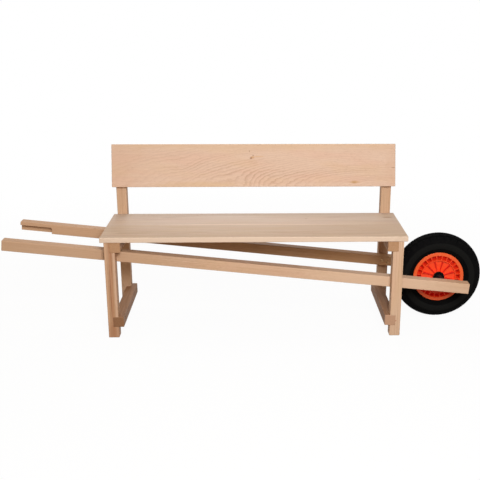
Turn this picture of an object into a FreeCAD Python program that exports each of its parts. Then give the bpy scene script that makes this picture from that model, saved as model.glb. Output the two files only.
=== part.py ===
import FreeCAD, Part
import math
import os

# A garden bench that is wheeled about like a barrow. Two long shafts slope through the bench frame:
# their left ends are the handles, and a pneumatic wheel turns between their right ends.
# Sizes are in millimetres. While it is built, x runs along the seat from its middle (the wheel is at
# +x), y runs back from the front faces of the front legs, and z is the height over the floor.

V = FreeCAD.Vector

# Bench frame
bench_length = 1320.0
board_overhang = 16.0
frame_depth = 440.0
seat_height = 460.0
stick = 46.0
housing_depth = 23.0
stretcher_height = 50.0
edge_ease = 2.0
overcut = 1.0

# Seat and backrest boards
board_thickness = 22.0
seat_front_overhang = 4.0
seat_back_gap = 1.0
seat_seam = 0.6
backrest_width = 198.0
backrest_rise = 128.0
backrest_tilt = 14.0
post_tip = 9.0

# Cleat under the middle of the seat
cleat_width = 46.0
cleat_thickness = 22.0
cleat_past_screw = 20.0

# Shafts and hand grips
shaft_under_bearer = 4.8
handle_reach = 447.0
shaft_past_axle = 109.0
grip_length = 146.0
grip_wall = 20.0
grip_lip = 16.0
grip_end_radius = 8.0

# Wheel: the tyre's section is a circle whose middle lies outside the rim's edge
wheel_past_legs = 0.5
tyre_lift = 11.0
tyre_section = 50.0
tyre_middle_height = 34.0
tyre_wall = 7.0
tyre_lip_gap = 1.5
tread_groove_width = 4.0
tread_groove_depth = 4.0
tread_groove_offsets = (-27.0, -9.0, 9.0, 27.0)
rim_radius = 116.0
rim_half_width = 38.0
flange_thickness = 5.0
flange_round = 2.0
flange_height = 14.5
flange_flare = 3.0
flange_flare_depth = 8.0
bead_toe_offset = 17.0
bead_gap = 0.2
barrel_wall = 3.5
pocket_count = 24
pocket_height = 17.5
pocket_rib = 3.0
pocket_rib_setback = 2.0
ring_wall = 3.5
web_thickness = 5.0
dish_depth = 10.0
web_rib_count = 12
web_rib = 3.0
web_rib_setback = 1.0
front_rib_over_dish = 8.0
front_rib_sag = 2.0
back_rib_at_hub = 12.0
back_rib_sag = 9.0
hub_wall = 11.5
hub_half_length = 41.0
tube_gap = 0.3
tube_wall = 2.5

# Axle, bushes and spacers
axle_radius = 10.0
axle_fit = 0.05
axle_bore_depth = 30.0
axle_end_gap = 0.5
axle_chamfer = 1.0
bush_wall = 6.0
bush_fit = 0.05
bush_length = 34.0
bush_flange_reach = 10.0
bush_flange = 4.0
bush_chamfer = 1.0
spacer_wall = 4.0
side_play = 0.3

# Valve
valve_angle = -30.0
valve_web_gap = 2.8
valve_body_radius = 5.2
valve_body_inside = 11.0
valve_thread_radius = 3.9
valve_thread_length = 13.0
valve_hole_gap = 0.2
valve_cap_radius = 5.0
valve_cap_length = 12.0
valve_cap_wall = 1.1
valve_cap_gap = 0.1
valve_access_radius = 7.0

# Wood screws, as shank radius, head radius and how far each bites into its last piece
screw_gap = 0.15
screw_tip = 5.0
screw_head_rim = 0.6
screw_radius = 2.25
screw_head_radius = 4.4
seat_screw_bite = 14.0
cleat_screw_bite = 13.0
backrest_screw_bite = 14.0
joint_screw_bite = 27.0
recess_arm = 2.4
recess_width = 1.0
recess_depth = 2.2
seat_screw_insets = (30.0, 90.0)
joint_screw_edge = 12.0
backrest_screw_edge = 34.0
backrest_screw_below_tip = 26.0

# Coach screws that hold the shafts to the legs
coach_radius = 4.0
coach_bite = 34.0
coach_head_flats = 13.0
coach_head_height = 5.3
coach_head_chamfer = 1.0
coach_edge = 9.5
coach_down = 6.0
washer_radius = 8.5
washer_thickness = 1.6

# Heights and places that follow from the sizes above
half_stick = stick / 2
board_underside = seat_height - board_thickness
bearer_bottom = board_underside - stick
leg_outer = bench_length / 2 - board_overhang
leg_inner = leg_outer - stick
leg_middle = leg_outer - half_stick
cross_outer = leg_inner + housing_depth
cross_inner = cross_outer - stick
cross_middle = cross_outer - half_stick
rear_leg_front = frame_depth - stick
front_shaft_y = (stick, 2 * stick)
rear_shaft_y = (frame_depth - 2 * stick, frame_depth - stick)
tyre_middle = rim_radius + tyre_middle_height
tyre_radius = tyre_middle + tyre_section
wheel_x = leg_outer + wheel_past_legs + tyre_radius
wheel_y = frame_depth / 2
wheel_z = tyre_lift + tyre_radius

# Radii of the rim, hub and bushes, each piece around the one inside it
bead_seat_radius = rim_radius - flange_height
barrel_radius = bead_seat_radius - barrel_wall
ring_radius = barrel_radius - pocket_height - ring_wall
bush_radius = axle_radius + bush_wall
bush_flange_radius = bush_radius + bush_flange_reach
hub_radius = bush_radius + hub_wall
spacer_radius = axle_radius + spacer_wall

# The shafts' centreline passes through the axle, and their top just clears the outer lower edge of
# the left seat bearer, so the slope is that of a tangent from that edge to a circle at the axle.
edge_dx = wheel_x + cross_outer
edge_dz = bearer_bottom - shaft_under_bearer - wheel_z
shaft_slope = math.atan2(edge_dz, edge_dx) - math.asin(half_stick / math.hypot(edge_dx, edge_dz))
shaft_left_x = -leg_outer - handle_reach
shaft_before_axle = (wheel_x - shaft_left_x) / math.cos(shaft_slope)


def block(x0, y0, z0, x1, y1, z1):
    return Part.makeBox(x1 - x0, y1 - y0, z1 - z0, V(x0, y0, z0))


def eased(box, keep_sharp_y=None):
    """A sawn piece with all its edges rounded a little, apart from those that lie at one y."""
    edges = []
    for edge in box.Edges:
        at_joint = all(keep_sharp_y is not None and abs(v.Y - keep_sharp_y) < 1e-6 for v in edge.Vertexes)
        if not at_joint:
            edges.append(edge)
    return box.makeFillet(edge_ease, edges)


def other_end(shape):
    return shape.mirror(V(0, 0, 0), V(1, 0, 0))


def turned(points):
    """A solid turned about the z axis from (radius, height) points, all joined by straight lines."""
    corners = [V(r, 0, z) for r, z in points]
    face = Part.Face(Part.makePolygon(corners + corners[:1]))
    return face.revolve(V(0, 0, 0), V(0, 0, 1), 360)


def aimed(shape, place, direction):
    """A shape made along +z from the origin, moved to a place and turned to a direction."""
    turn = FreeCAD.Rotation(V(0, 0, 1), direction)
    moved = shape.copy()
    moved.Placement = FreeCAD.Placement(place, turn)
    return moved


def wood_screw(length):
    """A countersunk screw driven along +z, the top of its head at z = 0, with a cross recess."""
    neck = screw_head_rim + screw_head_radius - screw_radius
    body = turned([
        (0, 0),
        (screw_head_radius, 0),
        (screw_head_radius, screw_head_rim),
        (screw_radius, neck),
        (screw_radius, length - screw_tip),
        (0, length),
    ])
    half = recess_width / 2
    for arm in (block(-recess_arm, -half, 0, recess_arm, half, recess_depth),
                block(-half, -recess_arm, 0, half, recess_arm, recess_depth)):
        body = body.cut(arm)
    return body


def wood_screw_hole(length):
    """The hole that a wood screw leaves, a little larger than the screw all over."""
    neck = screw_head_rim + screw_head_radius - screw_radius
    return turned([
        (0, -edge_ease),
        (screw_head_radius + screw_gap, -edge_ease),
        (screw_head_radius + screw_gap, screw_head_rim),
        (screw_radius + screw_gap, neck),
        (screw_radius + screw_gap, length + screw_gap),
        (0, length + screw_gap),
    ])


def coach_screw(length):
    """A hexagon head that starts at z = 0 and stands above it, over a shank driven along -z."""
    corner_radius = coach_head_flats / math.sqrt(3)
    corners = []
    for side in range(6):
        angle = math.radians(60 * side)
        corners.append(V(corner_radius * math.cos(angle), corner_radius * math.sin(angle), 0))
    head = Part.Face(Part.makePolygon(corners + corners[:1])).extrude(V(0, 0, coach_head_height))
    crown = turned([
        (0, 0),
        (corner_radius, 0),
        (corner_radius, coach_head_height - coach_head_chamfer),
        (coach_head_flats / 2 - coach_head_chamfer / 2, coach_head_height),
        (0, coach_head_height),
    ])
    shank = turned([
        (0, overcut),
        (coach_radius, overcut),
        (coach_radius, screw_tip - length),
        (0, -length),
    ])
    return head.common(crown).fuse(shank).removeSplitter()


def group(solids):
    return Part.makeCompound(list(solids))


def drilled(shape, holes):
    """A piece with only the holes that reach it cut out."""
    near = [h for h in holes if h.BoundBox.intersect(shape.BoundBox)]
    if near:
        shape = shape.cut(group(near))
    return shape


def leg_housings():
    """The two notches in a left leg that the bearer and the stretcher are let into."""
    notches = []
    for bottom in (bearer_bottom, stretcher_height):
        notches.append((bottom, bottom + stick))
    return notches


def left_leg(y0, y1, top):
    leg = eased(block(-leg_outer, y0, 0, -leg_inner, y1, top))
    for bottom, notch_top in leg_housings():
        leg = leg.cut(block(
            -cross_outer, y0 - overcut, bottom, -leg_inner + overcut, y1 + overcut, notch_top))
    return leg


def left_cross_piece(bottom):
    return eased(block(-cross_outer, 0, bottom, -cross_inner, frame_depth, bottom + stick))


# Seat boards: two equal boards from just over the front legs' faces to just short of the rear legs.
seat_back = rear_leg_front - seat_back_gap
seat_board_width = (seat_back + seat_front_overhang - seat_seam) / 2
seam_front = -seat_front_overhang + seat_board_width
half_length = bench_length / 2
seat_board_front = eased(
    block(-half_length, -seat_front_overhang, board_underside, half_length, seam_front, seat_height),
    keep_sharp_y=seam_front)
seam_back = seam_front + seat_seam
seat_board_rear = eased(
    block(-half_length, seam_back, board_underside, half_length, seat_back, seat_height),
    keep_sharp_y=seam_back)

# Backrest: its lower back edge lies on the rear legs' front faces, and it leans on their tapered tops.
lean = math.radians(backrest_tilt)
lean_z = seat_height + backrest_rise
backrest_board = eased(block(-half_length, -board_thickness, 0, half_length, 0, backrest_width))
backrest_board.rotate(V(0, 0, 0), V(1, 0, 0), -backrest_tilt)
backrest_board.translate(V(0, rear_leg_front, lean_z))

# Legs: the rear ones run on up behind the backrest, tapered to a tip by the cut that it leans on.
post_top = lean_z + (stick - post_tip) / math.tan(lean)
front_left_leg = left_leg(0, stick, board_underside)
rear_left_leg = left_leg(rear_leg_front, frame_depth, post_top)
taper_reach = post_top - lean_z + stick
taper_side = -leg_outer - overcut
taper_profile = [
    V(taper_side, rear_leg_front, lean_z),
    V(taper_side, rear_leg_front + taper_reach * math.tan(lean), lean_z + taper_reach),
    V(taper_side, rear_leg_front - stick, lean_z + taper_reach),
    V(taper_side, rear_leg_front - stick, lean_z),
]
taper_face = Part.Face(Part.makePolygon(taper_profile + taper_profile[:1]))
taper = taper_face.extrude(V(stick + 2 * overcut, 0, 0))
rear_left_leg = rear_left_leg.cut(taper)

# Bearers, stretchers and the cleat
left_seat_bearer = left_cross_piece(bearer_bottom)
left_stretcher = left_cross_piece(stretcher_height)
cleat_reach = max(seat_screw_insets) + cleat_past_screw
seat_cleat = eased(block(
    -cleat_width / 2, seam_front - cleat_reach, board_underside - cleat_thickness,
    cleat_width / 2, seam_back + cleat_reach, board_underside))


def shaft(y0, y1, grip_low, grip_high):
    """A shaft made level with the axle at the origin, with its grip rebate, then set to its slope."""
    rail = eased(block(-shaft_before_axle, y0, -half_stick, shaft_past_axle, y1, half_stick))
    lip = half_stick - grip_lip
    end = -shaft_before_axle + grip_length
    rebate = block(-shaft_before_axle - stick, grip_low, -stick, end, grip_high, lip)
    corner = [e for e in rebate.Edges if all(
        abs(v.X - end) < 1e-6 and abs(v.Z - lip) < 1e-6 for v in e.Vertexes)]
    rail = rail.cut(rebate.makeFillet(grip_end_radius, corner))
    rail.rotate(V(0, 0, 0), V(0, 1, 0), math.degrees(shaft_slope))
    rail.translate(V(wheel_x, 0, wheel_z))
    return rail


front_shaft = shaft(*front_shaft_y, front_shaft_y[0] + grip_wall, front_shaft_y[1] + stick)
rear_shaft = shaft(*rear_shaft_y, rear_shaft_y[0] - stick, rear_shaft_y[1] - grip_wall)


def shaft_height(x):
    return wheel_z + (wheel_x - x) * math.tan(shaft_slope)


# Wood screws, each as (place of the head's top, direction, length)
up = V(0, 0, 1)
seat_screw_ys = []
for board_edge in (seam_front, seam_back):
    side = -1 if board_edge == seam_front else 1
    for inset in seat_screw_insets:
        seat_screw_ys.append(board_edge + side * inset)
seat_screw_places = []
cleat_screw_places = []
for y in seat_screw_ys:
    for x in (-cross_middle, cross_middle):
        seat_screw_places.append((V(x, y, bearer_bottom), up, stick + seat_screw_bite))
    cleat_screw_places.append(
        (V(0, y, board_underside - cleat_thickness), up, cleat_thickness + cleat_screw_bite))

backrest_screw_places = []
for z in (lean_z + backrest_screw_edge, post_top - backrest_screw_below_tip):
    post_thickness = stick - (z - lean_z) * math.tan(lean)
    for x in (-leg_middle, leg_middle):
        backrest_screw_places.append(
            (V(x, frame_depth, z), V(0, -1, 0), post_thickness + backrest_screw_bite))

joint_screw_places = []
joint_screw_length = stick - housing_depth + joint_screw_bite
joint_screw_spread = half_stick - joint_screw_edge
for side in (-1, 1):
    for leg_y in (half_stick, frame_depth - half_stick):
        for bottom in (bearer_bottom, stretcher_height):
            for step in (-joint_screw_spread, joint_screw_spread):
                place = V(side * leg_outer, leg_y + step, bottom + half_stick + step)
                joint_screw_places.append((place, V(-side, 0, 0), joint_screw_length))

all_wood_screws = seat_screw_places + cleat_screw_places + backrest_screw_places + joint_screw_places
wood_holes = [aimed(wood_screw_hole(length), place, way) for place, way, length in all_wood_screws]

# Coach screws: two on the slant at each crossing of a shaft and a leg, driven outwards from between
# the shafts, each with a washer under its head.
coach_screws = []
coach_washers = []
coach_holes = []
coach_along = half_stick - coach_edge
coach_length = stick + coach_bite + washer_thickness
for inner_face, outwards in ((front_shaft_y[1], -1), (rear_shaft_y[0], 1)):
    head_way = V(0, -outwards, 0)
    for side in (-1, 1):
        for step in (-1, 1):
            x = side * leg_middle + side * step * coach_along
            z = shaft_height(side * leg_middle) - step * coach_down
            seat = V(x, inner_face, z)
            head_base = seat + head_way * washer_thickness
            coach_screws.append(aimed(coach_screw(coach_length), head_base, head_way))
            washer = Part.makeCylinder(washer_radius, washer_thickness)
            washer = washer.cut(Part.makeCylinder(coach_radius + screw_gap, washer_thickness))
            coach_washers.append(aimed(washer, seat, head_way))
            hole_depth = stick + coach_bite + screw_gap
            hole = Part.makeCylinder(coach_radius + screw_gap, hole_depth)
            coach_holes.append(aimed(hole, seat, V(0, outwards, 0)))

# Blind bores for the axle in the shafts' inner faces
along = V(0, 1, 0)
bore_start = front_shaft_y[1] - axle_bore_depth
bore_end = rear_shaft_y[0] + axle_bore_depth
axle_bore = Part.makeCylinder(
    axle_radius + axle_fit, bore_end - bore_start, V(wheel_x, bore_start, wheel_z), along)

# Axle and spacers: turned about z here, front side up, and laid along the axle's line at the end
axle_half = (bore_end - bore_start) / 2 - axle_end_gap
axle = turned([
    (0, -axle_half),
    (axle_radius - axle_chamfer, -axle_half),
    (axle_radius, -axle_half + axle_chamfer),
    (axle_radius, axle_half - axle_chamfer),
    (axle_radius - axle_chamfer, axle_half),
    (0, axle_half),
])
bush_face = hub_half_length + bush_flange
spacer_start = bush_face + side_play
spacer_end = wheel_y - front_shaft_y[1]
front_axle_spacer = turned([
    (axle_radius + axle_fit, spacer_start),
    (spacer_radius, spacer_start),
    (spacer_radius, spacer_end),
    (axle_radius + axle_fit, spacer_end),
])
rear_axle_spacer = front_axle_spacer.mirror(V(0, 0, 0), V(0, 0, 1))

# Hub bushes: flanged, pushed into the hub from both sides
front_hub_bush = turned([
    (axle_radius + axle_fit, hub_half_length - bush_length),
    (bush_radius, hub_half_length - bush_length),
    (bush_radius, hub_half_length),
    (bush_flange_radius - bush_chamfer, hub_half_length),
    (bush_flange_radius, hub_half_length + bush_chamfer),
    (bush_flange_radius, bush_face - bush_chamfer),
    (bush_flange_radius - bush_chamfer, bush_face),
    (axle_radius + axle_fit, bush_face),
])
rear_hub_bush = front_hub_bush.mirror(V(0, 0, 0), V(0, 0, 1))


def ring_of(shape, count, first_angle):
    """Copies of a shape turned evenly about the z axis."""
    copies = []
    for index in range(count):
        copy = shape.copy()
        copy.rotate(V(0, 0, 0), V(0, 0, 1), first_angle + index * 360 / count)
        copies.append(copy)
    return copies


# Rim: moulded in one piece. The barrel with its two flanges, the inner ring, the hub tube and the web
# are turned, and the ribs between them are flat plates. The web is stepped: outside the ring it lies
# in the middle plane, as the floor of the pockets, and inside the ring it is a shallow dish in front.
flange_back = rim_half_width - flange_thickness


def mirrored_profile(upper):
    """A closed outline from its upper half, which is listed from the outside in."""
    return upper + [(r, -z) for r, z in reversed(upper)]


flange_points = [(bead_seat_radius, flange_back), (rim_radius, flange_back)]
flange_arc_middle = rim_half_width - flange_round
for quarter in range(5):
    angle = math.radians(22.5 * quarter)
    flange_points.append((
        rim_radius - flange_round + flange_round * math.cos(angle),
        flange_arc_middle + flange_round * math.sin(angle)))
flange_points += [
    (barrel_radius + flange_flare, rim_half_width),
    (barrel_radius, rim_half_width - flange_flare_depth),
]
barrel = turned(mirrored_profile(flange_points))
pocket_floor = turned([
    (ring_radius + overcut, -web_thickness / 2),
    (barrel_radius + overcut, -web_thickness / 2),
    (barrel_radius + overcut, web_thickness / 2),
    (ring_radius + overcut, web_thickness / 2),
])
dish_front = rim_half_width - dish_depth
dish = turned([
    (bush_radius + bush_fit, dish_front - web_thickness),
    (ring_radius + overcut, dish_front - web_thickness),
    (ring_radius + overcut, dish_front),
    (bush_radius + bush_fit, dish_front),
])
inner_ring = turned([
    (ring_radius, -rim_half_width),
    (ring_radius + ring_wall, -rim_half_width),
    (ring_radius + ring_wall, rim_half_width),
    (ring_radius, rim_half_width),
])
hub_tube = turned([
    (bush_radius + bush_fit, -hub_half_length),
    (hub_radius, -hub_half_length),
    (hub_radius, hub_half_length),
    (bush_radius + bush_fit, hub_half_length),
])
pocket_rib_top = rim_half_width - pocket_rib_setback
pocket_plate = block(
    ring_radius + overcut, -pocket_rib / 2, -pocket_rib_top,
    barrel_radius + flange_flare, pocket_rib / 2, pocket_rib_top)
pocket_plates = ring_of(pocket_plate, pocket_count, 180 / pocket_count)

web_rib_top = rim_half_width - web_rib_setback


def free_edge(at_hub, at_ring, sag):
    """The free edge of a web rib, which hangs in a curve between the hub and the inner ring."""
    start = V(hub_radius - overcut, 0, at_hub)
    end = V(ring_radius + overcut, 0, at_ring)
    return Part.Arc(start, (start + end) * 0.5 - V(0, 0, sag), end).toShape()


front_edge = free_edge(dish_front + front_rib_over_dish, web_rib_top, front_rib_sag)
back_edge = free_edge(-back_rib_at_hub, -web_rib_top, -back_rib_sag)
rib_ends = [
    Part.makeLine(front.Point, back.Point)
    for front, back in zip(front_edge.Vertexes, back_edge.Vertexes)]
rib_face = Part.Face(Part.Wire([front_edge, rib_ends[1], back_edge, rib_ends[0]]))
web_plate = rib_face.extrude(V(0, web_rib, 0))
web_plate.translate(V(0, -web_rib / 2, 0))
web_plates = ring_of(web_plate, web_rib_count, 180 / web_rib_count)
turned_parts = [pocket_floor, dish, inner_ring, hub_tube]
wheel_rim = barrel.multiFuse(turned_parts + pocket_plates + web_plates).removeSplitter()

# Valve: a rubber-coated body from the inner tube through the barrel, a threaded end and a cap. Its
# centreline points at the hub. It lies a little behind the pockets' floor, and the open back of the
# rim gives access to it.
valve_way = V(math.cos(math.radians(valve_angle)), math.sin(math.radians(valve_angle)), 0)
valve_offset = web_thickness / 2 + valve_web_gap + valve_body_radius
tube_radius = tyre_section - tyre_wall - tube_gap
valve_side = valve_offset - valve_body_radius
valve_base = tyre_middle - math.sqrt(tube_radius ** 2 - valve_side ** 2) - tube_gap / 2
valve_body_inner_end = barrel_radius - valve_body_inside
valve_thread_end = valve_body_inner_end - valve_thread_length


def valve_turned(points):
    """Turned about the valve's own centreline, the first number of each point its radius from it."""
    return aimed(turned(points), V(0, 0, -valve_offset), valve_way)


valve_stem = valve_turned([
    (0, valve_thread_end),
    (valve_thread_radius, valve_thread_end),
    (valve_thread_radius, valve_body_inner_end),
    (valve_body_radius, valve_body_inner_end),
    (valve_body_radius, valve_base),
    (0, valve_base),
])
cap_mouth = valve_thread_end + valve_cap_length - valve_cap_wall - valve_cap_gap
cap_top = cap_mouth - valve_cap_length
cap_roof = cap_top + valve_cap_wall
cap_bore = valve_thread_radius + valve_cap_gap
valve_cap = valve_turned([
    (0, cap_top),
    (valve_cap_radius, cap_top),
    (valve_cap_radius, cap_mouth),
    (cap_bore, cap_mouth),
    (cap_bore, cap_roof),
    (0, cap_roof),
])
barrel_hole = valve_turned([
    (0, barrel_radius - overcut),
    (valve_body_radius + valve_hole_gap, barrel_radius - overcut),
    (valve_body_radius + valve_hole_gap, bead_seat_radius + overcut),
    (0, bead_seat_radius + overcut),
])
access_hole = valve_turned([
    (0, ring_radius - overcut),
    (valve_access_radius, ring_radius - overcut),
    (valve_access_radius, ring_radius + ring_wall + overcut),
    (0, ring_radius + ring_wall + overcut),
])
wheel_rim = wheel_rim.cut(group([barrel_hole, access_hole]))

# Tyre: a round section with beads that sit on the barrel between the flanges
bead_radius = bead_seat_radius + bead_gap
bead_heel = flange_back - bead_gap
sidewall_foot = rim_radius + tyre_lip_gap
sidewall_foot_z = math.sqrt(tyre_section ** 2 - (tyre_middle - sidewall_foot) ** 2)
cavity_radius = tyre_section - tyre_wall
bead_toe_top = tyre_middle - math.sqrt(cavity_radius ** 2 - bead_toe_offset ** 2)
outer_arc = Part.Arc(
    V(sidewall_foot, 0, sidewall_foot_z), V(tyre_radius, 0, 0), V(sidewall_foot, 0, -sidewall_foot_z))
inner_arc = Part.Arc(
    V(bead_toe_top, 0, -bead_toe_offset), V(tyre_middle + cavity_radius, 0, 0),
    V(bead_toe_top, 0, bead_toe_offset))
lower_bead = Part.makePolygon([
    V(sidewall_foot, 0, -sidewall_foot_z), V(rim_radius, 0, -bead_heel), V(bead_radius, 0, -bead_heel),
    V(bead_radius, 0, -bead_toe_offset), V(bead_toe_top, 0, -bead_toe_offset)])
upper_bead = Part.makePolygon([
    V(bead_toe_top, 0, bead_toe_offset), V(bead_radius, 0, bead_toe_offset), V(bead_radius, 0, bead_heel),
    V(rim_radius, 0, bead_heel), V(sidewall_foot, 0, sidewall_foot_z)])
tyre_outline = Part.Wire(
    [outer_arc.toShape()] + lower_bead.Edges + [inner_arc.toShape()] + upper_bead.Edges)
tyre = Part.Face(tyre_outline).revolve(V(0, 0, 0), V(0, 0, 1), 360)
for offset in tread_groove_offsets:
    surface = tyre_middle + math.sqrt(tyre_section ** 2 - offset ** 2)
    half = tread_groove_width / 2
    tyre = tyre.cut(turned([
        (surface - tread_groove_depth, offset - half),
        (surface + tread_groove_width, offset - half),
        (surface + tread_groove_width, offset + half),
        (surface - tread_groove_depth, offset + half),
    ]))

# Inner tube: a hollow ring that fills the tyre
inner_tube = Part.makeTorus(tyre_middle, tube_radius).cut(
    Part.makeTorus(tyre_middle, tube_radius - tube_wall))


def on_axle(shape):
    """From the turning axis z, front side up, to the axle's line along y, front side to -y."""
    laid = shape.copy()
    laid.rotate(V(0, 0, 0), V(1, 0, 0), 90)
    laid.translate(V(wheel_x, wheel_y, wheel_z))
    return laid


wood_pieces = {
    "seat_board_front": seat_board_front,
    "seat_board_rear": seat_board_rear,
    "backrest_board": backrest_board,
    "front_left_leg": front_left_leg,
    "front_right_leg": other_end(front_left_leg),
    "rear_left_leg": rear_left_leg,
    "rear_right_leg": other_end(rear_left_leg),
    "left_seat_bearer": left_seat_bearer,
    "right_seat_bearer": other_end(left_seat_bearer),
    "left_stretcher": left_stretcher,
    "right_stretcher": other_end(left_stretcher),
    "seat_cleat": seat_cleat,
    "front_shaft": front_shaft.cut(axle_bore),
    "rear_shaft": rear_shaft.cut(axle_bore),
}
pieces = {name: drilled(shape, wood_holes + coach_holes) for name, shape in wood_pieces.items()}
for name, places in (
        ("seat_screws", seat_screw_places),
        ("cleat_screws", cleat_screw_places),
        ("backrest_screws", backrest_screw_places),
        ("joint_screws", joint_screw_places)):
    pieces[name] = group(aimed(wood_screw(length), place, way) for place, way, length in places)
pieces["shaft_coach_screws"] = group(coach_screws)
pieces["shaft_washers"] = group(coach_washers)
for name, shape in (
        ("axle", axle),
        ("front_axle_spacer", front_axle_spacer),
        ("rear_axle_spacer", rear_axle_spacer),
        ("front_hub_bush", front_hub_bush),
        ("rear_hub_bush", rear_hub_bush),
        ("wheel_rim", wheel_rim),
        ("tyre", tyre),
        ("inner_tube", inner_tube),
        ("valve_stem", valve_stem),
        ("valve_cap", valve_cap)):
    pieces[name] = on_axle(shape)

# The finished part stands with its origin on the floor, in the middle of its own outline.
os.makedirs("parts", exist_ok=True)
outline = group(pieces.values()).optimalBoundingBox(False, False)
to_origin = V(-(outline.XMin + outline.XMax) / 2, -(outline.YMin + outline.YMax) / 2, 0)
for name, shape in pieces.items():
    placed = shape.copy()
    placed.translate(to_origin)
    placed.exportStep(f"parts/{name}.step")
print("moved by", to_origin, "slope in degrees", math.degrees(shaft_slope))
print("axle at", V(wheel_x, wheel_y, wheel_z) + to_origin)
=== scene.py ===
"""A garden bench that is wheeled about like a barrow, finished as it stands new in a studio.
Lengths are in metres. x runs along the seat towards the wheel, y runs back and z runs up."""

import math

import bpy
from mathutils import Color, Matrix, Vector


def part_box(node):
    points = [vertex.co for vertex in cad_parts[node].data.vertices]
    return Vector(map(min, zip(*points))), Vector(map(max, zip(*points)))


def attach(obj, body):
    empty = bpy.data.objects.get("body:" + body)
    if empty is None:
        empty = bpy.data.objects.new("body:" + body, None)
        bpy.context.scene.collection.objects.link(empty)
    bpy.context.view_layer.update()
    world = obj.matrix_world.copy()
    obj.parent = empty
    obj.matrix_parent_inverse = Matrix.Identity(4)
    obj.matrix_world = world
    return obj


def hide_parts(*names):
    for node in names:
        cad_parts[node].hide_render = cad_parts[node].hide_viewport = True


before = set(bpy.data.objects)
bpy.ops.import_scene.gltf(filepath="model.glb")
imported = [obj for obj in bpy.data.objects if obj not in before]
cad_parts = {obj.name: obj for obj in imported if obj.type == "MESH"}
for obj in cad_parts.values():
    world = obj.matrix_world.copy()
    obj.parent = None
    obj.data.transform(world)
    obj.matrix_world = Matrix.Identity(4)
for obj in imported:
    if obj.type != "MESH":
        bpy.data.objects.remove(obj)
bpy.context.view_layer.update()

# Legs: four square sticks of planed softwood, notched inside for the bearers and stretchers. The
# front ones stop under the seat and the rear ones run on up behind the backrest. The front left one
# is the darkest, with a reddish stripe of heartwood down its front face.
stick = 0.046
post_height = 0.7364
front_leg_height = 0.438
upward = Vector((0, 0, 1))
rightward = Vector((1, 0, 0))


class Value:
    """One output of a finish's nodes. Sums and products of values add their own Math nodes."""

    def __init__(self, finish, socket):
        self.finish = finish
        self.socket = socket

    def __add__(self, other):
        return self.finish.maths("ADD", self, other)

    def __sub__(self, other):
        return self.finish.maths("SUBTRACT", self, other)

    def __rsub__(self, other):
        return self.finish.maths("SUBTRACT", other, self)

    def __mul__(self, other):
        return self.finish.maths("MULTIPLY", self, other)

    def __truediv__(self, other):
        return self.finish.maths("DIVIDE", self, other)

    def __rtruediv__(self, other):
        return self.finish.maths("DIVIDE", other, self)

    def __abs__(self):
        return self.finish.maths("ABSOLUTE", self)

    __radd__ = __add__
    __rmul__ = __mul__

    def root(self):
        return self.finish.maths("SQRT", self)

    def least(self, other):
        return self.finish.maths("MINIMUM", self, other)

    def most(self, other):
        return self.finish.maths("MAXIMUM", self, other)

    def rise(self, low, high):
        """0 up to low, 1 from high on, and a smooth rise between them."""
        return self.finish.node(
            "ShaderNodeMapRange", {"interpolation_type": "SMOOTHSTEP"},
            {"Value": self, "From Min": low, "From Max": high})


class Finish:
    """The nodes of a material, or of the studio's room, while they are being laid out."""

    def __init__(self, name, kind=bpy.data.materials):
        self.made = kind.new(name)
        self.made.use_nodes = True
        self.tree = self.made.node_tree
        self.tree.nodes.clear()

    def node(self, kind, settings, sockets, output=0):
        """Adds a node: first its settings, then the values or links of its sockets."""
        made = self.tree.nodes.new(kind)
        for name, setting in settings.items():
            if name == "stops":
                stops = made.color_ramp.elements
                while len(stops) < len(setting):
                    stops.new(1.0)
                for stop, (position, shade) in zip(stops, setting):
                    stop.position = position
                    stop.color = (shade, shade, shade, 1.0)
            else:
                setattr(made, name, setting)
        for name, value in sockets.items():
            if isinstance(value, Value):
                self.tree.links.new(value.socket, made.inputs[name])
            else:
                made.inputs[name].default_value = value
        if made.outputs:
            return Value(self, made.outputs[output])

    def maths(self, operation, *numbers):
        return self.node("ShaderNodeMath", {"operation": operation}, dict(enumerate(numbers)))

    def place(self, middle=(0, 0, 0), turn=(0, 0, 0)):
        """Where a point lies, measured from a middle along turned axes."""
        here = self.node("ShaderNodeTexCoord", {}, {}, "Object")
        return self.node(
            "ShaderNodeMapping", {"vector_type": "TEXTURE"},
            {"Vector": here, "Location": middle, "Rotation": turn})

    def facing(self, direction):
        """1 where the surface faces along a direction, either way, and 0 where it is side-on."""
        normal = self.node("ShaderNodeTexCoord", {}, {}, "Normal")
        along = self.node(
            "ShaderNodeVectorMath", {"operation": "DOT_PRODUCT"},
            {0: normal, 1: direction}, "Value")
        return abs(along).rise(0.55, 0.85)

    def axes(self, vector):
        """The three parts of a vector."""
        return [
            self.node("ShaderNodeSeparateXYZ", {}, {"Vector": vector}, axis) for axis in range(3)]

    def clouds(self, here, lengths, detail=2.0, shift=0.0):
        """Uneven values round 0.5, in patches of about these lengths in the three directions."""
        scales = tuple(1 / length for length in lengths)
        spread = self.node(
            "ShaderNodeMapping", {},
            {"Vector": here, "Location": (shift, shift, shift), "Scale": scales})
        return self.node(
            "ShaderNodeTexNoise", {}, {"Vector": spread, "Scale": 1.0, "Detail": detail})

    def mix(self, share, first, second, way="MIX"):
        """The second colour laid over the first, or multiplied into it, by a share from 0 to 1."""
        return self.node(
            "ShaderNodeMix", {"data_type": "RGBA", "blend_type": way},
            {0: share, 6: first, 7: second}, 2)

    def surface(self, colour, roughness, height, others):
        """The finished material. The height of its relief is in metres, and others holds further
        sockets of its shader."""
        relief = self.node(
            "ShaderNodeBump", {}, {"Height": height, "Distance": 1.0, "Strength": 1.0})
        sockets = {"Base Color": colour, "Roughness": roughness, "Normal": relief}
        shader = self.node("ShaderNodeBsdfPrincipled", {}, sockets | others)
        self.node("ShaderNodeOutputMaterial", {}, {"Surface": shader})
        return self.made


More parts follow.
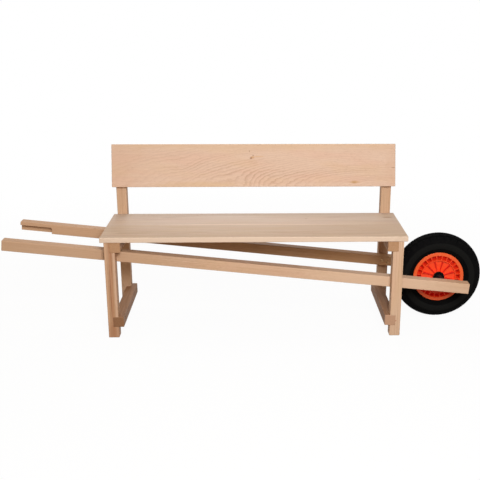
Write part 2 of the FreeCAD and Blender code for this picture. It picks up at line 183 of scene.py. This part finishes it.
def paint(red, green, blue):
    """A colour as a screen shows it, 0 to 255 each, in the light values that a shader works in."""
    return (*Color((red / 255, green / 255, blue / 255)).from_srgb_to_scene_linear(), 1.0)


def tinted(colour, red, green, blue):
    """A colour with its red, green and blue made stronger or weaker."""
    return (colour[0] * red, colour[1] * green, colour[2] * blue, 1.0)


def timber(
        node, grain, width, size, tones, rings, seed, ripple=(0.10, 0.016, 0.0024), swells=(),
        figure=(), streaks=0.38, painted_flanks=None, marks=()):
    """Planed timber on one piece. It is laid out from the middle of the piece, as along the grain,
    across the width and through the thickness, and size holds the piece's lengths in that order.
    The growth rings lie round the pith, a line that runs beside the piece and leans towards it,
    and rings holds their width, the pith's place and its lean. A ripple has a length, a breadth
    and a height. Swells push the rings out, figure says where they show most, and streaks how
    strong the slow streaks are. Painted flanks is a painted shade, multiplied into the two faces
    across the width. Marks are stains and knots, and some carry painted light or painted shade.
    Each swell, figure or mark begins with its place, length and breadth."""
    light, dark = tones
    ring_width, pith_across, pith_through, lean_across, lean_through = rings
    finish = Finish(node + "_timber")
    low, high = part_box(node)
    through = grain.cross(width)
    turn = Matrix((grain, width, through)).transposed().to_euler()
    here = finish.place((low + high) / 2, turn)
    along, across, deep = finish.axes(here)

    def apart(middle_along, middle_across, length, breadth):
        """Squared distance from a place on the face, counted in lengths and breadths."""
        u = (along - middle_along) / length
        v = (across - middle_across) / breadth
        return u * u + v * v

    # Growth rings, wandering slowly, rippling a little, and swelling round knots
    side = across - along * lean_across - pith_across
    depth = deep - along * lean_through - pith_through
    wander = finish.clouds(here, (0.60, 0.15, 0.15), 1.0, seed) * 0.024
    ripples = finish.clouds(here, (ripple[0], ripple[1], ripple[1]), 2.0, seed + 1) * ripple[2]
    radius = (side * side + depth * depth).root() + wander + ripples
    for *place, swell in swells:
        radius = radius + finish.maths("EXPONENT", apart(*place) * -1.0) * swell
    ring = radius / ring_width
    latewood = finish.node(
        "ShaderNodeValToRGB",
        {"stops": [(0.0, 0.0), (0.45, 0.12), (0.80, 0.75), (0.92, 1.0), (1.0, 0.0)]},
        {"Fac": finish.maths("FRACT", ring)})
    year = finish.node(
        "ShaderNodeTexNoise", {"noise_dimensions": "1D"}, {"W": ring * 0.43, "Scale": 1.0})
    shown = finish.clouds(here, (0.24, 0.10, 0.10), 1.0, seed + 8).rise(0.42, 0.60) * 0.35 + 0.65
    if figure:
        shown = shown * 0.25
    for *place, strength in figure:
        shown = shown + finish.maths("EXPONENT", apart(*place) * -1.0) * strength
    line = latewood * year.rise(0.15, 0.60) * shown

    # Fibres, pores and the slow changes of tone along the stick
    streak = finish.clouds(here, (0.35, 0.006, 0.006), 3.0, seed + 2)
    fibre = finish.clouds(here, (0.045, 0.0010, 0.0010), 2.0, seed + 3)
    pore = finish.clouds(here, (0.012, 0.0008, 0.0008), 1.0, seed + 4).rise(0.60, 0.72)
    rosy = finish.clouds(here, (0.30, 0.05, 0.05), 2.0, seed + 5).rise(0.42, 0.66)
    honey = finish.clouds(here, (0.22, 0.07, 0.07), 2.0, seed + 6).rise(0.46, 0.66)

    # End grain, and edges that planing has rounded and handling has paled
    end = finish.facing(grain)
    gap, other, third = (length / 2 - abs(at) for length, at in zip(size, (along, across, deep)))
    from_edge = gap.least(other).most(gap.most(other).least(third))
    nick = finish.clouds(here, (0.020, 0.006, 0.006), 3.0, seed + 7)
    edge = 1 - (from_edge + nick * 0.004).rise(0.0015, 0.0055)

    colour = finish.mix(rosy * 0.55, light, tinted(light, 0.99, 0.90, 0.88))
    colour = finish.mix(honey * 0.45, colour, tinted(light, 0.99, 0.96, 0.84))
    colour = finish.mix(line * 0.62, colour, dark)
    colour = finish.mix(streak.rise(0.42, 0.72) * streaks, colour, dark)
    pale_streak = (1 - streak.rise(0.28, 0.46)) * streaks * 0.5
    colour = finish.mix(pale_streak, colour, tinted(light, 1.09, 1.09, 1.10))
    colour = finish.mix(fibre.rise(0.35, 0.70) * 0.16, colour, dark)
    colour = finish.mix(pore * 0.30, colour, tinted(dark, 0.72, 0.68, 0.62))
    colour = finish.mix(edge * 0.30, colour, tinted(light, 1.10, 1.10, 1.10))
    colour = finish.mix(end * 0.35, colour, tinted(dark, 0.86, 0.80, 0.72))
    # Painted shade: the faces across the width are multiplied darker by the flank shade.
    if painted_flanks:
        colour = finish.mix(finish.facing(width), colour, painted_flanks, "MULTIPLY")
    for *place, stain, strength in marks:
        reach = apart(*place).root() + nick * 0.8 - 0.4
        colour = finish.mix((1 - reach.rise(0.35, 1.0)) * strength, colour, stain)
    roughness = 0.52 + streak * 0.14 + end * 0.14 - edge * 0.05
    relief = line * 0.00004 + fibre * 0.00006 - pore * 0.00016 - edge * nick * 0.0004
    return finish.surface(colour, roughness, relief, {"Specular IOR Level": 0.2})


def dress(node, material):
    """Puts a material on a piece of the frame."""
    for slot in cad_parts[node].material_slots:
        slot.material = material


redwood = paint(200, 162, 131), paint(167, 124, 93)
palewood = paint(221, 189, 161), paint(191, 153, 123)
midwood = paint(211, 177, 146), paint(180, 141, 110)
brownwood = paint(203, 165, 130), paint(170, 126, 92)
leg_rings = 0.0036, 0.034, 0.030, 0.010, -0.008
dress("front_left_leg", timber(
    "front_left_leg", upward, rightward, (front_leg_height, stick, stick), redwood, leg_rings, 3.1,
    marks=[
        (0.0, 0.002, 0.9, 0.009, paint(178, 126, 92), 0.55),
        (-0.02, -0.004, 0.16, 0.003, paint(142, 92, 62), 0.6),
        (0.12, 0.006, 0.10, 0.003, paint(150, 100, 70), 0.5),
        (0.0, 0.017, 0.9, 0.007, paint(230, 198, 172), 0.45),
        (0.0, -0.018, 0.9, 0.006, paint(222, 182, 148), 0.5),
        (-0.205, 0.0, 0.075, 0.12, paint(172, 124, 90), 0.55),
    ]))
dress("front_right_leg", timber(
    "front_right_leg", upward, rightward, (front_leg_height, stick, stick), palewood, leg_rings,
    11.7, marks=[(-0.148, 0.0035, 0.005, 0.003, paint(176, 96, 66), 0.8)]))
# The rear left leg is painted paler under the seat than above it, painted light in the seat's shade
dress("rear_left_leg", timber(
    "rear_left_leg", upward, rightward, (post_height, stick, stick), midwood, leg_rings, 5.3,
    marks=[(-0.12, 0.0, 0.21, 0.30, paint(226, 187, 151), 0.8)]))
dress("rear_right_leg", timber(
    "rear_right_leg", upward, rightward, (post_height, stick, stick), midwood, leg_rings, 8.9))

# Bearers and stretchers: two sticks to each pair of legs, let into them from the inside and
# screwed. The bearers carry the seat and the stretchers tie the feet. Their end grain shows at the
# front, and that of the right stretcher is the palest.
forward = Vector((0, -1, 0))
cross_length = 0.440
cross_rings = 0.0032, 0.020, -0.036, -0.012, 0.010
darkwood_and_painted_shade = paint(164, 124, 92), paint(134, 95, 66)
pale_end = [(0.220, 0.0, 0.010, 0.10, paint(226, 186, 158), 0.5)]
# The right stretcher takes the dark tones as painted shade on its sides; its pale end is its own
# colour.
for cross_piece, cross_tones, cross_seed, cross_marks in (
        ("left_seat_bearer", brownwood, 14.2, ()), ("right_seat_bearer", brownwood, 17.9, ()),
        ("left_stretcher", darkwood_and_painted_shade, 21.3, ()), ("right_stretcher", darkwood_and_painted_shade, 25.8, pale_end)):
    dress(cross_piece, timber(
        cross_piece, forward, rightward, (cross_length, stick, stick), cross_tones, cross_rings,
        cross_seed, marks=cross_marks))

# Shafts: two long softwood sticks, screwed to the legs, that slope down from the handles to the
# axle. Each handle is cut away below and inside to a grip. Tops and undersides carry a painted
# shade, darker on the rear shaft. The front shaft has painted shade at its handle and painted light
# at the wheel, and the rear one has painted shade at the wheel end, where the seat shades it.
shaft_length = 2.055
shaft_slope = math.radians(5.963)
down_the_shaft = Vector((math.cos(shaft_slope), 0, -math.sin(shaft_slope)))
up_the_shaft = Vector((math.sin(shaft_slope), 0, math.cos(shaft_slope)))
shaft_rings = 0.0034, 0.040, -0.020, 0.012, 0.009
tanwood = paint(210, 172, 137), paint(177, 133, 99)
front_flank_shade = 0.74, 0.67, 0.62, 1.0
rear_flank_shade = 0.66, 0.58, 0.52, 1.0
# Handle marks paint shade; wheel-end marks paint light on the front shaft and shade on the rear one.
for shaft, shaft_tones, flank_shade, painted_handle_shade, painted_wheel_end, shaft_seed in (
        ("front_shaft", palewood, front_flank_shade, paint(190, 154, 122), paint(226, 195, 167), 31.4),
        ("rear_shaft", tanwood, rear_flank_shade, paint(208, 170, 138), paint(197, 150, 104), 36.6)):
    dress(shaft, timber(
        shaft, down_the_shaft, up_the_shaft, (shaft_length, stick, stick), shaft_tones, shaft_rings,
        shaft_seed, painted_flanks=flank_shade, marks=[
            (-0.80, 0.0, 0.90, 0.30, painted_handle_shade, 0.6),
            (0.62, 0.0, 0.45, 0.30, painted_wheel_end, 0.6),
        ]))

# Seat boards: two planed boards side by side with a fine seam between them, held by screws that
# come up through the bearers and the cleat. The front one is greyer than the rear one, and both are
# paler along their front edges.
board_length = 1.320
seat_board_width = 0.1982
board_thickness = 0.022
greyish = paint(203, 180, 158), paint(177, 150, 127)
pinkish = paint(207, 186, 168), paint(180, 155, 136)
backward = Vector((0, 1, 0))
dress("seat_board_front", timber(
    "seat_board_front", rightward, backward, (board_length, seat_board_width, board_thickness),
    greyish, (0.0042, -0.030, -0.150, 0.02, 0.01), 41.2,
    marks=[
        (-0.29, 0.032, 0.10, 0.0016, paint(232, 206, 184), 0.7),
        (0.0, -0.102, 1.6, 0.014, paint(234, 211, 190), 0.8),
    ]))
dress("seat_board_rear", timber(
    "seat_board_rear", rightward, backward, (board_length, seat_board_width, board_thickness),
    pinkish, (0.0045, 0.020, -0.130, -0.02, 0.012), 46.5,
    marks=[
        (0.0, -0.097, 0.62, 0.010, paint(234, 208, 186), 0.55),
        (0.618, 0.018, 0.034, 0.010, paint(148, 116, 88), 0.75),
        (0.239, 0.001, 0.008, 0.005, paint(160, 124, 96), 0.6),
        (-0.269, 0.065, 0.016, 0.006, paint(176, 130, 108), 0.6),
    ]))

# Cleat: a flat batten of the same softwood, screwed across the underside of the seat at its middle.
# It keeps the two boards level with each other.
cleat_length = 0.2206
dress("seat_cleat", timber(
    "seat_cleat", forward, rightward, (cleat_length, stick, board_thickness), brownwood,
    (0.0034, 0.012, 0.060, 0.0, 0.01), 52.4))

# Backrest: one flat-sawn board that leans back on the tapered posts and is screwed from behind. Its
# rings come out as long wavy arches and swirl in the middle, near the lower edge. It has a group of
# pin knots and a honey-coloured one.
backrest_width = 0.198
backrest_tilt = math.radians(14)
up_the_backrest = Vector((0, math.sin(backrest_tilt), math.cos(backrest_tilt)))
rosewhite = paint(223, 194, 172), paint(170, 128, 101)
pin_knot = paint(128, 74, 44)
straw = paint(212, 180, 142)
dress("backrest_board", timber(
    "backrest_board", rightward, up_the_backrest, (board_length, backrest_width, board_thickness),
    rosewhite, (0.0075, -0.110, -0.1165, 0.0, 0.17), 61.8, ripple=(0.024, 0.016, 0.008),
    swells=[(-0.06, -0.09, 0.09, 0.06, 0.022), (-0.33, -0.01, 0.08, 0.05, 0.012)],
    figure=[
        (0.05, -0.05, 0.17, 0.055, 0.75),
        (-0.25, 0.0, 0.20, 0.05, 0.45),
        (0.40, -0.035, 0.25, 0.035, 0.6),
    ],
    streaks=0.08,
    marks=[
        (0.0, 0.104, 1.0, 0.050, straw, 0.40),
        (-0.28, -0.096, 0.26, 0.034, straw, 0.50),
        (-0.68, 0.0, 0.26, 0.20, paint(208, 170, 140), 0.25),
        (0.67, -0.02, 0.08, 0.14, paint(208, 170, 142), 0.3),
        (-0.006, 0.0370, 0.0130, 0.0075, paint(196, 146, 92), 0.6),
        (-0.014, 0.0337, 0.0075, 0.0050, pin_knot, 0.7),
        (-0.004, 0.0453, 0.0050, 0.0045, pin_knot, 0.5),
        (-0.021, 0.0662, 0.0040, 0.0040, pin_knot, 0.45),
        (0.020, 0.0415, 0.036, 0.0045, paint(212, 170, 126), 0.5),
        (0.469, -0.0788, 0.034, 0.0090, paint(196, 152, 96), 0.6),
        (0.466, -0.0790, 0.014, 0.0035, paint(164, 118, 70), 0.5),
        (0.650, -0.0120, 0.016, 0.0030, paint(140, 92, 62), 0.5),
    ]))

# Wood screws: countersunk cross-head screws of steel, zinc-plated and passivated yellow. They hold
# the seat boards from below, the cleat, the backrest and the housed joints of the legs.


def plated(name, bright, dull, roughness):
    """Bright metal: a cloudy shine, fine scratches, and duller where it has been touched."""
    finish = Finish(name)
    here = finish.place()
    cloud = finish.clouds(here, (0.005, 0.005, 0.005), 3.0)
    scratch = finish.clouds(here, (0.0004, 0.0030, 0.0004), 2.0, 7.0).rise(0.60, 0.72)
    touched = finish.clouds(here, (0.020, 0.020, 0.020), 2.0, 3.0).rise(0.45, 0.65)
    colour = finish.mix(cloud.rise(0.35, 0.65), bright, dull)
    colour = finish.mix(touched * 0.4, colour, tinted(dull, 0.8, 0.78, 0.76))
    rough = cloud * 0.20 + touched * 0.12 + roughness
    return finish.surface(colour, rough, cloud * 0.00004 - scratch * 0.00003, {"Metallic": 1.0})


yellow_zinc = plated("yellow_zinc", paint(214, 186, 118), paint(178, 146, 84), 0.26)
for screws in ("seat_screws", "cleat_screws", "backrest_screws", "joint_screws"):
    dress(screws, yellow_zinc)

# Coach screws and washers: eight hexagon-headed steel screws on round washers. They are driven
# through the shafts into the legs from inside, two at each crossing. Their yellow zinc has gone
# dull and brown.
dull_zinc = plated("dull_yellow_zinc", paint(206, 170, 128), paint(168, 132, 94), 0.60)
dress("shaft_coach_screws", dull_zinc)
dress("shaft_washers", dull_zinc)

# Axle: a round bar of bright drawn steel. Its ends lie in blind bores in the shafts, so that they
# do not show from outside, and it does not turn.
dress("axle", plated("drawn_steel", paint(190, 190, 190), paint(140, 138, 134), 0.22))

# Axle spacers: two short tubes of black plastic, slipped over the axle on both sides of the wheel.
# They keep it midway between the shafts.
wheel_low, wheel_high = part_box("wheel_rim")
wheel_middle = (wheel_low + wheel_high) / 2


def dusty_plastic(name, colour, dust, grain_size, roughness, gloss):
    """Moulded plastic: an even grain, faint flow marks round the axle, and dust in patches."""
    finish = Finish(name)
    here = finish.place(wheel_middle)
    x, y, z = finish.axes(here)
    from_axle = (x * x + z * z).root()
    grain = finish.clouds(here, (grain_size, grain_size, grain_size), 2.0)
    patch = finish.clouds(here, (0.016, 0.016, 0.016), 3.0, 4.0).rise(0.45, 0.75)
    flow = finish.node("ShaderNodeTexNoise", {"noise_dimensions": "1D"}, {"W": from_axle * 900})
    shade = finish.mix(grain.rise(0.3, 0.7) * 0.3, colour, tinted(colour, 1.35, 1.35, 1.35))
    shade = finish.mix(patch * 0.35, shade, dust)
    rough = grain * 0.16 + patch * 0.14 + roughness
    relief = grain * 0.00006 + flow * 0.00005
    return finish.surface(shade, rough, relief, {"Specular IOR Level": gloss})


black = paint(22, 22, 24)
pale_dust = paint(74, 70, 66)
spacer_plastic = dusty_plastic("spacer_plastic", black, pale_dust, 0.0012, 0.40, 0.12)
dress("front_axle_spacer", spacer_plastic)
dress("rear_axle_spacer", spacer_plastic)

# Hub bushes: flanged bushes of black plastic, pressed into the hub from both sides. Their flanges
# are the black discs in the middle of the wheel.
bush_plastic = dusty_plastic("bush_plastic", paint(7, 6, 8), paint(20, 17, 17), 0.0008, 0.50, 0.06)
dress("front_hub_bush", bush_plastic)
dress("rear_hub_bush", bush_plastic)

# Rim: one moulding of orange plastic. Between the flanged barrel and an inner ring lie 24 pockets,
# and twelve ribs cross the dished web to the hub. The pockets carry a painted shade of deep red and
# the web beside each rib a painted shadow in the same red, and both glow faintly in it, a painted
# glow. Deeper in the rim it darkens in patches, partly grime and partly painted shade. The flanges
# are scuffed and a little yellower.
flange_inner_radius = 0.101
pocket_outer_radius = 0.1005
pocket_inner_radius = 0.081
rim_half_width = 0.038
web_outer_radius = 0.077
border = 0.001
pocket_ribs = 24
web_ribs = 12
orange = paint(255, 78, 34)
flange_orange = paint(238, 98, 44)
painted_pocket_shade = paint(214, 30, 12)
painted_rib_shadow_red = paint(206, 14, 4)
rim_finish = Finish("orange_rim_plastic")
on_wheel = rim_finish.place(wheel_middle)
wheel_x, wheel_y, wheel_z = rim_finish.axes(on_wheel)
from_hub = (wheel_x * wheel_x + wheel_z * wheel_z).root()
inset = rim_half_width - abs(wheel_y)
mould_grain = rim_finish.clouds(on_wheel, (0.0011, 0.0011, 0.0011), 2.0)
tone = rim_finish.clouds(on_wheel, (0.030, 0.030, 0.030), 3.0, 2.0)
scuff = rim_finish.clouds(on_wheel, (0.010, 0.0015, 0.010), 3.0, 5.0).rise(0.58, 0.70)
grime_and_painted_shade = rim_finish.clouds(on_wheel, (0.012, 0.012, 0.012), 3.0, 9.0).rise(0.45, 0.75)
on_flange = from_hub.rise(flange_inner_radius - border, flange_inner_radius + border) * (
    1 - inset.rise(0.002, 0.006))
in_pocket = from_hub.rise(pocket_inner_radius - border, pocket_inner_radius) * (
    1 - from_hub.rise(pocket_outer_radius, pocket_outer_radius + border)) * inset.rise(0.002, 0.010)
round_wheel = rim_finish.maths("ARCTAN2", wheel_z, wheel_x) / (2 * math.pi)


def from_rib(count):
    """Distance from the middle of the nearest of so many ribs, which stand like spokes."""
    part = rim_finish.maths("FRACT", round_wheel * count)
    return abs(part - 0.5) * from_hub * (2 * math.pi / count)


beside_pocket_rib = 1 - from_rib(pocket_ribs).rise(0.0015, 0.0035)
# Painted shadow: a deep red band on the web beside each rib, where the rib's side is in shade.
rib_painted_shadow = (1 - (from_rib(web_ribs) / from_hub).rise(0.025, 0.110)) * (
    1 - from_hub.rise(0.070, web_outer_radius))
rim_colour = rim_finish.mix(tone.rise(0.35, 0.65) * 0.35, orange, tinted(orange, 0.90, 0.78, 0.72))
rim_colour = rim_finish.mix(on_flange * 0.85, rim_colour, flange_orange)
# Painted shade: the pockets are coloured a deeper red.
rim_colour = rim_finish.mix(in_pocket * (1 - beside_pocket_rib * 0.7) * 0.9, rim_colour, painted_pocket_shade)
rim_colour = rim_finish.mix(rib_painted_shadow * 0.9, rim_colour, painted_rib_shadow_red)
# Partly grime, partly painted shade: darker patches deep in the rim.
rim_colour = rim_finish.mix(grime_and_painted_shade * inset.rise(0.012, 0.034) * 0.25, rim_colour, paint(120, 52, 30))
rim_colour = rim_finish.mix(scuff * on_flange * 0.35, rim_colour, paint(250, 160, 116))
# Painted glow: the pockets and rib bands emit a faint deep red, though the rim is no lamp.
painted_glow = rim_finish.mix(in_pocket.most(rib_painted_shadow), paint(0, 0, 0), painted_pocket_shade)
dress("wheel_rim", rim_finish.surface(
    rim_colour, mould_grain * 0.14 + grime_and_painted_shade * 0.14 + 0.30, mould_grain * 0.00008 - scuff * 0.00005,
    {"Specular IOR Level": 0.4, "Emission Strength": 0.075, "Emission Color": painted_glow}))

# Tyre: black rubber, moulded with a block tread. Four grooves run round it, and cross grooves cut
# it into blocks that are staggered from side to side and fade out at the shoulder. Each sidewall has
# a raised band and two rings. It stands for the plain tyre of the frame and keeps its section.
section_middle = 0.150
section_radius = 0.050
inside_radius = 0.0432
rim_edge_radius = 0.116
bead_radius = 0.1017
bead_heel = 0.0328
bead_toe = 0.017
sidewall_foot = 0.1175
groove_depth = 0.004
cross_depth = 0.0034
sidewall_recess = 0.0007
groove_walls = -0.0003, 0.0003
finest_step = math.radians(2.4)
inside_steps = 12
sharp_angle = math.radians(32)
tread_pitches = 36
pitch_stops = (0.0, 0.014, 0.11, 0.124, 0.22, 0.32, 0.41, 0.5, 0.514, 0.61, 0.624, 0.72, 0.82, 0.91)
grooves = (0.007, 0.011), (0.025, 0.029)
cross_groove_share = 0.013, 0.111
shoulder_end = 0.1655
fade_start = 0.176
fade_height = 0.008
raised_rings = (0.1365, 0.1632), (0.1310, 0.1324), (0.1250, 0.1275)


def section_angles():
    """Angles round the outside of the section, with two at each wall of a groove or ring."""
    angles = [0.0, math.acos((sidewall_foot - section_middle) / section_radius)]
    for edge in sum(grooves, ()):
        angles += [math.asin((edge + wall) / section_radius) for wall in groove_walls]
    for edge in sum(raised_rings, (shoulder_end,)):
        angles += [
            math.acos((edge + wall - section_middle) / section_radius) for wall in groove_walls]
    angles.sort()
    filled = []
    for low, high in zip(angles, angles[1:]):
        count = math.ceil((high - low) / finest_step)
        filled += [low + (high - low) * step / count for step in range(count)]
    filled.append(angles[-1])
    return [-angle for angle in reversed(filled[1:])] + filled


def rubber_cut(angle, stop):
    """How deep the rubber is cut at an angle round the section and a share of a tread pitch."""
    from_middle = abs(section_radius * math.sin(angle))
    from_centre = section_middle + section_radius * math.cos(angle)
    if from_centre < shoulder_end:
        on_ring = any(inner <= from_centre <= outer for inner, outer in raised_rings)
        return 0.0 if on_ring else sidewall_recess
    if any(inner <= from_middle <= outer for inner, outer in grooves):
        return groove_depth
    on_shoulder = from_middle > grooves[1][1]
    staggered = 0.5 if (angle > 0) == on_shoulder else 0.0
    begins, ends = cross_groove_share
    if from_middle < grooves[0][0] or not begins < (stop + staggered) % 1.0 < ends:
        return 0.0
    return cross_depth * min(max((from_centre - fade_start) / fade_height, 0.0), 1.0)


def section_point(out, angle):
    """A point beside the section's middle, as distance from the axle and distance to the front."""
    return section_middle + out * math.cos(angle), out * math.sin(angle)


def rubber_section(stop):
    """The closed outline of the rubber at one place of the tread."""
    outline = []
    for angle in section_angles():
        outline.append(section_point(section_radius - rubber_cut(angle, stop), angle))
    outline += [(rim_edge_radius, bead_heel), (bead_radius, bead_heel), (bead_radius, bead_toe)]
    toe_angle = math.pi - math.asin(bead_toe / inside_radius)
    for step in range(inside_steps + 1):
        outline.append(section_point(inside_radius, toe_angle * (1 - 2 * step / inside_steps)))
    outline += [(bead_radius, -bead_toe), (bead_radius, -bead_heel), (rim_edge_radius, -bead_heel)]
    return outline


sections = [rubber_section(stop) for stop in pitch_stops]
around = len(sections[0])
columns = tread_pitches * len(pitch_stops)
points = []
faces = []
for column in range(columns):
    pitch, place = divmod(column, len(pitch_stops))
    round_tyre = 2 * math.pi * (pitch + pitch_stops[place]) / tread_pitches
    for out, front in sections[place]:
        points.append(wheel_middle + Vector((
            out * math.cos(round_tyre), -front, out * math.sin(round_tyre))))
    following = (column + 1) % columns
    for row in range(around):
        above = (row + 1) % around
        faces.append((
            column * around + row, column * around + above,
            following * around + above, following * around + row))
tyre_mesh = bpy.data.meshes.new("block_tread_tyre")
tyre_mesh.from_pydata(points, [], faces)
tyre_mesh.update()
tyre_mesh.shade_smooth()
tyre_mesh.set_sharp_from_angle(angle=sharp_angle)
tyre = bpy.data.objects.new("block_tread_tyre", tyre_mesh)
bpy.context.scene.collection.objects.link(tyre)

rubber = Finish("tyre_rubber")
on_tyre = rubber.place(wheel_middle)
tyre_x, tyre_y, tyre_z = rubber.axes(on_tyre)
out_on_tyre = (tyre_x * tyre_x + tyre_z * tyre_z).root()
pitted = rubber.clouds(on_tyre, (0.0012, 0.0012, 0.0012), 2.0)
bloom = rubber.clouds(on_tyre, (0.035, 0.035, 0.035), 3.0, 2.0).rise(0.40, 0.70)
dust = rubber.clouds(on_tyre, (0.010, 0.010, 0.010), 4.0, 6.0).rise(0.52, 0.75)
# Painted sheen: the raised band of each sidewall is painted lighter; it is also a little glossier.
band_painted_sheen = out_on_tyre.rise(0.1360, 0.1380) * (1 - out_on_tyre.rise(0.160, 0.168))
in_tread = out_on_tyre.rise(0.176, 0.192)
rubber_colour = rubber.mix(bloom * 0.5, paint(13, 13, 14), paint(19, 19, 19))
rubber_colour = rubber.mix(band_painted_sheen * 0.55, rubber_colour, paint(31, 32, 31))
rubber_colour = rubber.mix(dust * (in_tread * 0.3 + 0.15), rubber_colour, paint(36, 34, 32))
tyre_mesh.materials.append(rubber.surface(
    rubber_colour, pitted * 0.14 + dust * 0.10 - band_painted_sheen * 0.06 + 0.56, pitted * 0.00012,
    {"Specular IOR Level": 0.01}))
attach(tyre, "wheel")
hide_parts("tyre")

# Inner tube: a ring of butyl rubber that fills the tyre and holds its air. It is dusted with talc,
# in smears, so that it does not stick.
butyl = Finish("butyl_tube")
on_tube = butyl.place(wheel_middle)
talc = butyl.clouds(on_tube, (0.020, 0.020, 0.020), 4.0).rise(0.48, 0.72)
wrinkle = butyl.clouds(on_tube, (0.004, 0.004, 0.004), 2.0)
dress("inner_tube", butyl.surface(
    butyl.mix(talc * 0.4, paint(26, 26, 27), paint(120, 118, 116)), talc * 0.2 + 0.45,
    wrinkle * 0.0001, {"Specular IOR Level": 0.3}))

# Valve: a stem of brass with a rubber jacket on the tube's side, and a black plastic cap with a
# fluted grip on its thread. It points at the hub through a hole in the barrel, behind the pockets.
valve_low, valve_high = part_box("valve_stem")
valve_middle = (valve_low + valve_high) / 2
valve_turn = (0, math.radians(30), 0)
thread_radius = 0.0044
thread_winding = 8000.0
flutes = 16.0
stem = Finish("valve_stem_rubber_and_brass")
on_stem = stem.place(valve_middle, valve_turn)
along_stem, stem_x, stem_y = stem.axes(on_stem)
from_line = (stem_x * stem_x + stem_y * stem_y).root()
brass = 1 - from_line.rise(thread_radius, thread_radius + 0.0002)
winding = stem.maths("SINE", along_stem * thread_winding)
tarnish = stem.clouds(on_stem, (0.003, 0.003, 0.003), 3.0)
jacket = stem.mix(tarnish.rise(0.4, 0.7) * 0.4, paint(26, 26, 27), paint(58, 55, 52))
plating = stem.mix(tarnish.rise(0.4, 0.7) * 0.6, paint(196, 160, 86), paint(132, 100, 52))
stem_shader = {"Metallic": brass, "Specular IOR Level": 0.3}
dress("valve_stem", stem.surface(
    stem.mix(brass, jacket, plating), tarnish * 0.2 - brass * 0.2 + 0.45,
    winding * brass * 0.00015 + tarnish * 0.00005, stem_shader))
cap = Finish("valve_cap_plastic")
on_cap = cap.place(valve_middle, valve_turn)
along_cap, cap_x, cap_y = cap.axes(on_cap)
flute = cap.maths("SINE", cap.maths("ARCTAN2", cap_y, cap_x) * flutes)
rubbed = cap.clouds(on_cap, (0.002, 0.002, 0.002), 3.0)
dress("valve_cap", cap.surface(
    cap.mix(flute.rise(0.0, 1.0) * 0.3 + rubbed * 0.2, paint(22, 22, 24), paint(64, 62, 60)),
    rubbed * 0.2 + 0.35, flute * 0.0002, {"Specular IOR Level": 0.4}))

# Floor: a wide pale sheet that the bench stands on. The camera sees white paper that keeps a faint
# shadow under the bench. The bench sees a dim brown floor, so that its undersides stay brown.
floor_reach = 30.0
floor_mesh = bpy.data.meshes.new("studio_floor")
floor_mesh.from_pydata(
    [(-floor_reach, -floor_reach, 0), (floor_reach, -floor_reach, 0),
     (floor_reach, floor_reach, 0), (-floor_reach, floor_reach, 0)], [], [(0, 1, 2, 3)])
floor = bpy.data.objects.new("studio_floor", floor_mesh)
bpy.context.scene.collection.objects.link(floor)


def seen_directly(finish):
    """1 for what the camera sees, also in a shiny surface or through a clear one."""
    rays = [finish.node("ShaderNodeLightPath", {}, {}, ray)
            for ray in ("Is Camera Ray", "Is Glossy Ray", "Is Transmission Ray")]
    return rays[0].most(rays[1]).most(rays[2])


white = 1.0, 1.0, 1.0, 1.0
shadow_reach = 1.2, 3.0
shadow_strength = 0.05
paper = Finish("studio_paper")
floor_x, floor_y, floor_z = paper.axes(paper.place())
from_bench = (floor_x * floor_x + floor_y * floor_y).root()
fibres = paper.clouds(paper.place(), (0.05, 0.05, 0.05), 3.0)
sheet = paper.node("ShaderNodeBsdfDiffuse", {}, {
    "Color": paper.mix(fibres, (0.86, 0.86, 0.86, 1.0), (0.94, 0.94, 0.94, 1.0))})
glow = paper.node("ShaderNodeEmission", {}, {"Color": white, "Strength": 1.0})
shadow_share = (1 - from_bench.rise(*shadow_reach)) * shadow_strength
picture = paper.node("ShaderNodeMixShader", {}, {0: shadow_share, 1: glow, 2: sheet})
dim = paper.node("ShaderNodeBsdfDiffuse", {}, {"Color": (0.30, 0.22, 0.15, 1.0)})
floor_shader = paper.node("ShaderNodeMixShader", {}, {0: seen_directly(paper), 1: dim, 2: picture})
paper.node("ShaderNodeOutputMaterial", {}, {"Surface": floor_shader})
floor_mesh.materials.append(paper.made)

# Studio: one large soft lamp in front of the bench, above it and a little to the right, a weak one
# overhead and a weak one behind, in a white room that lights the bench dimly and warmly.
room = Finish("studio", bpy.data.worlds)
soft = room.node("ShaderNodeBackground", {}, {"Color": (1.0, 0.86, 0.72, 1.0), "Strength": 0.35})
bright = room.node("ShaderNodeBackground", {}, {"Color": white, "Strength": 1.0})
walls = room.node("ShaderNodeMixShader", {}, {0: seen_directly(room), 1: soft, 2: bright})
room.node("ShaderNodeOutputWorld", {}, {"Surface": walls})
bpy.context.scene.world = room.made
lamps_aim = Vector((0.1, 0, 0.4))


def soft_lamp(name, place, width, watts):
    """A round lamp that is aimed at the bench."""
    lamp = bpy.data.lights.new(name, "AREA")
    lamp.shape = "DISK"
    lamp.size = width
    lamp.energy = watts
    holder = bpy.data.objects.new(name, lamp)
    holder.location = place
    holder.rotation_euler = (lamps_aim - Vector(place)).to_track_quat("-Z", "Y").to_euler()
    bpy.context.scene.collection.objects.link(holder)


soft_lamp("key_lamp", (0.5, -3.6, 2.5), 1.6, 134.0)
soft_lamp("top_lamp", (-0.4, 0.5, 3.3), 1.6, 14.0)
soft_lamp("back_lamp", (-0.3, 4.2, 2.2), 2.0, 40.0)

# Camera: at eye height, just right of the bench's middle, and looking down at it. The lens is
# shifted to frame the bench as the picture does.
lens_pixels = 810.7
picture_pixels = 480
camera_data = bpy.data.cameras.new("camera")
camera_data.lens = lens_pixels * camera_data.sensor_width / picture_pixels
camera_data.shift_x = -0.0683
camera_data.shift_y = 0.0107
camera = bpy.data.objects.new("camera", camera_data)
camera.location = (0.0219, -3.5334, 1.4559)
camera.rotation_euler = [math.radians(angle) for angle in (72.713, -0.131, -1.355)]
bpy.context.scene.collection.objects.link(camera)
bpy.context.scene.camera = camera
bpy.context.scene.view_settings.view_transform = "Standard"
